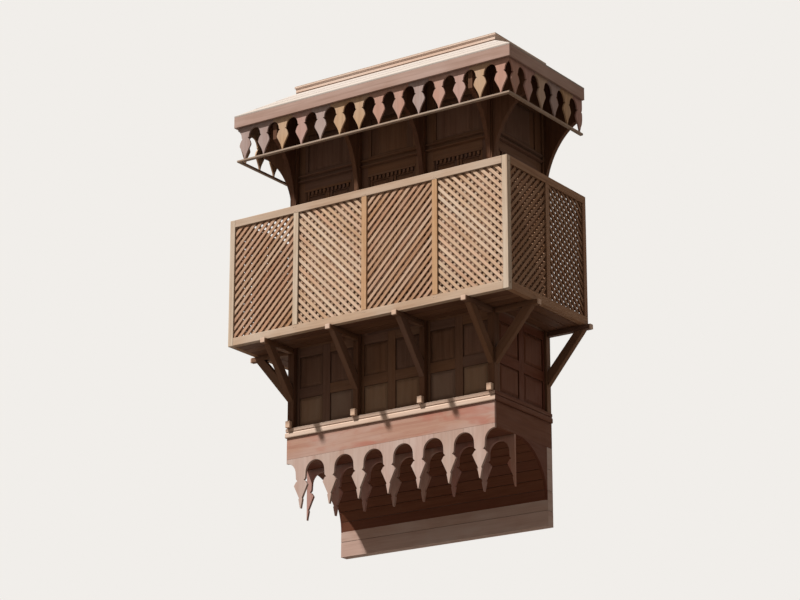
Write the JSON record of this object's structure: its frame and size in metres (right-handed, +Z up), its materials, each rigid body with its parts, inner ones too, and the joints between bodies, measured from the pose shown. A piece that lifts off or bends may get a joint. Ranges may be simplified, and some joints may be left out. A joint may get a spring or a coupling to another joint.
{
  "type": "mashrabiya oriel screen with a lattice box",
  "caption": "Wooden mashrabiya oriel for a house wall: lattice box round a panelled closet, bracketed skirt canopy with a cut-out frieze, and an arched fringe over a coved foot.",
  "frame": {"origin": "middle of the sill's back face, on the house wall, at the closet's floor", "axes": "+Z up, +Y into the house wall (its outward face is the plane Y = 0), +X to the right as seen from the street"},
  "size_m": [2.81, 1.225, 3.951],
  "materials": {
    "lattice_wood": "satin",
    "rail_wood": "satin",
    "body_wood": "satin",
    "post_wood": "satin",
    "apron_wood": "satin",
    "frieze_wood": "satin",
    "fascia_wood": "satin",
    "roof_paint": "matte",
    "crown_wood": "satin"
  },
  "bodies": {
    "root": {"wall_frame": "body_wood", "front_posts": "post_wood", "floor_board": "body_wood", "cornice": "apron_wood", "low_panel_front_1": "body_wood", "low_panel_front_2": "body_wood", "low_panel_front_3": "body_wood", "low_panel_sides": "body_wood", "window_wall_front_1": "body_wood", "window_wall_front_2": "body_wood", "window_wall_front_3": "body_wood", "window_wall_left": "body_wood", "window_wall_right": "body_wood", "window_leaves": "body_wood", "apron_front": "apron_wood", "apron_sides": "apron_wood", "fringe_front": "apron_wood", "fringe_inner": "apron_wood", "soffit": "apron_wood", "cove": "apron_wood", "cheeks": "apron_wood", "foot": "apron_wood", "joists": "rail_wood", "struts": "post_wood", "balcony_floor": "post_wood", "lattice_frame_front": "rail_wood", "lattice_frame_left": "rail_wood", "lattice_frame_right": "rail_wood", "lattice_front_1": "lattice_wood", "lattice_front_2": "lattice_wood", "lattice_front_3": "lattice_wood", "lattice_front_4": "lattice_wood", "lattice_left_1": "lattice_wood", "lattice_left_2": "lattice_wood", "lattice_right_1": "lattice_wood", "lattice_right_2": "lattice_wood", "header": "body_wood", "crown": "crown_wood", "roof_front": "roof_paint", "roof_sides": "roof_paint", "fascia_front": "fascia_wood", "fascia_sides": "fascia_wood", "frieze_front": "frieze_wood", "frieze_sides": "frieze_wood", "brackets": "post_wood"}
  },
  "joints": []
}
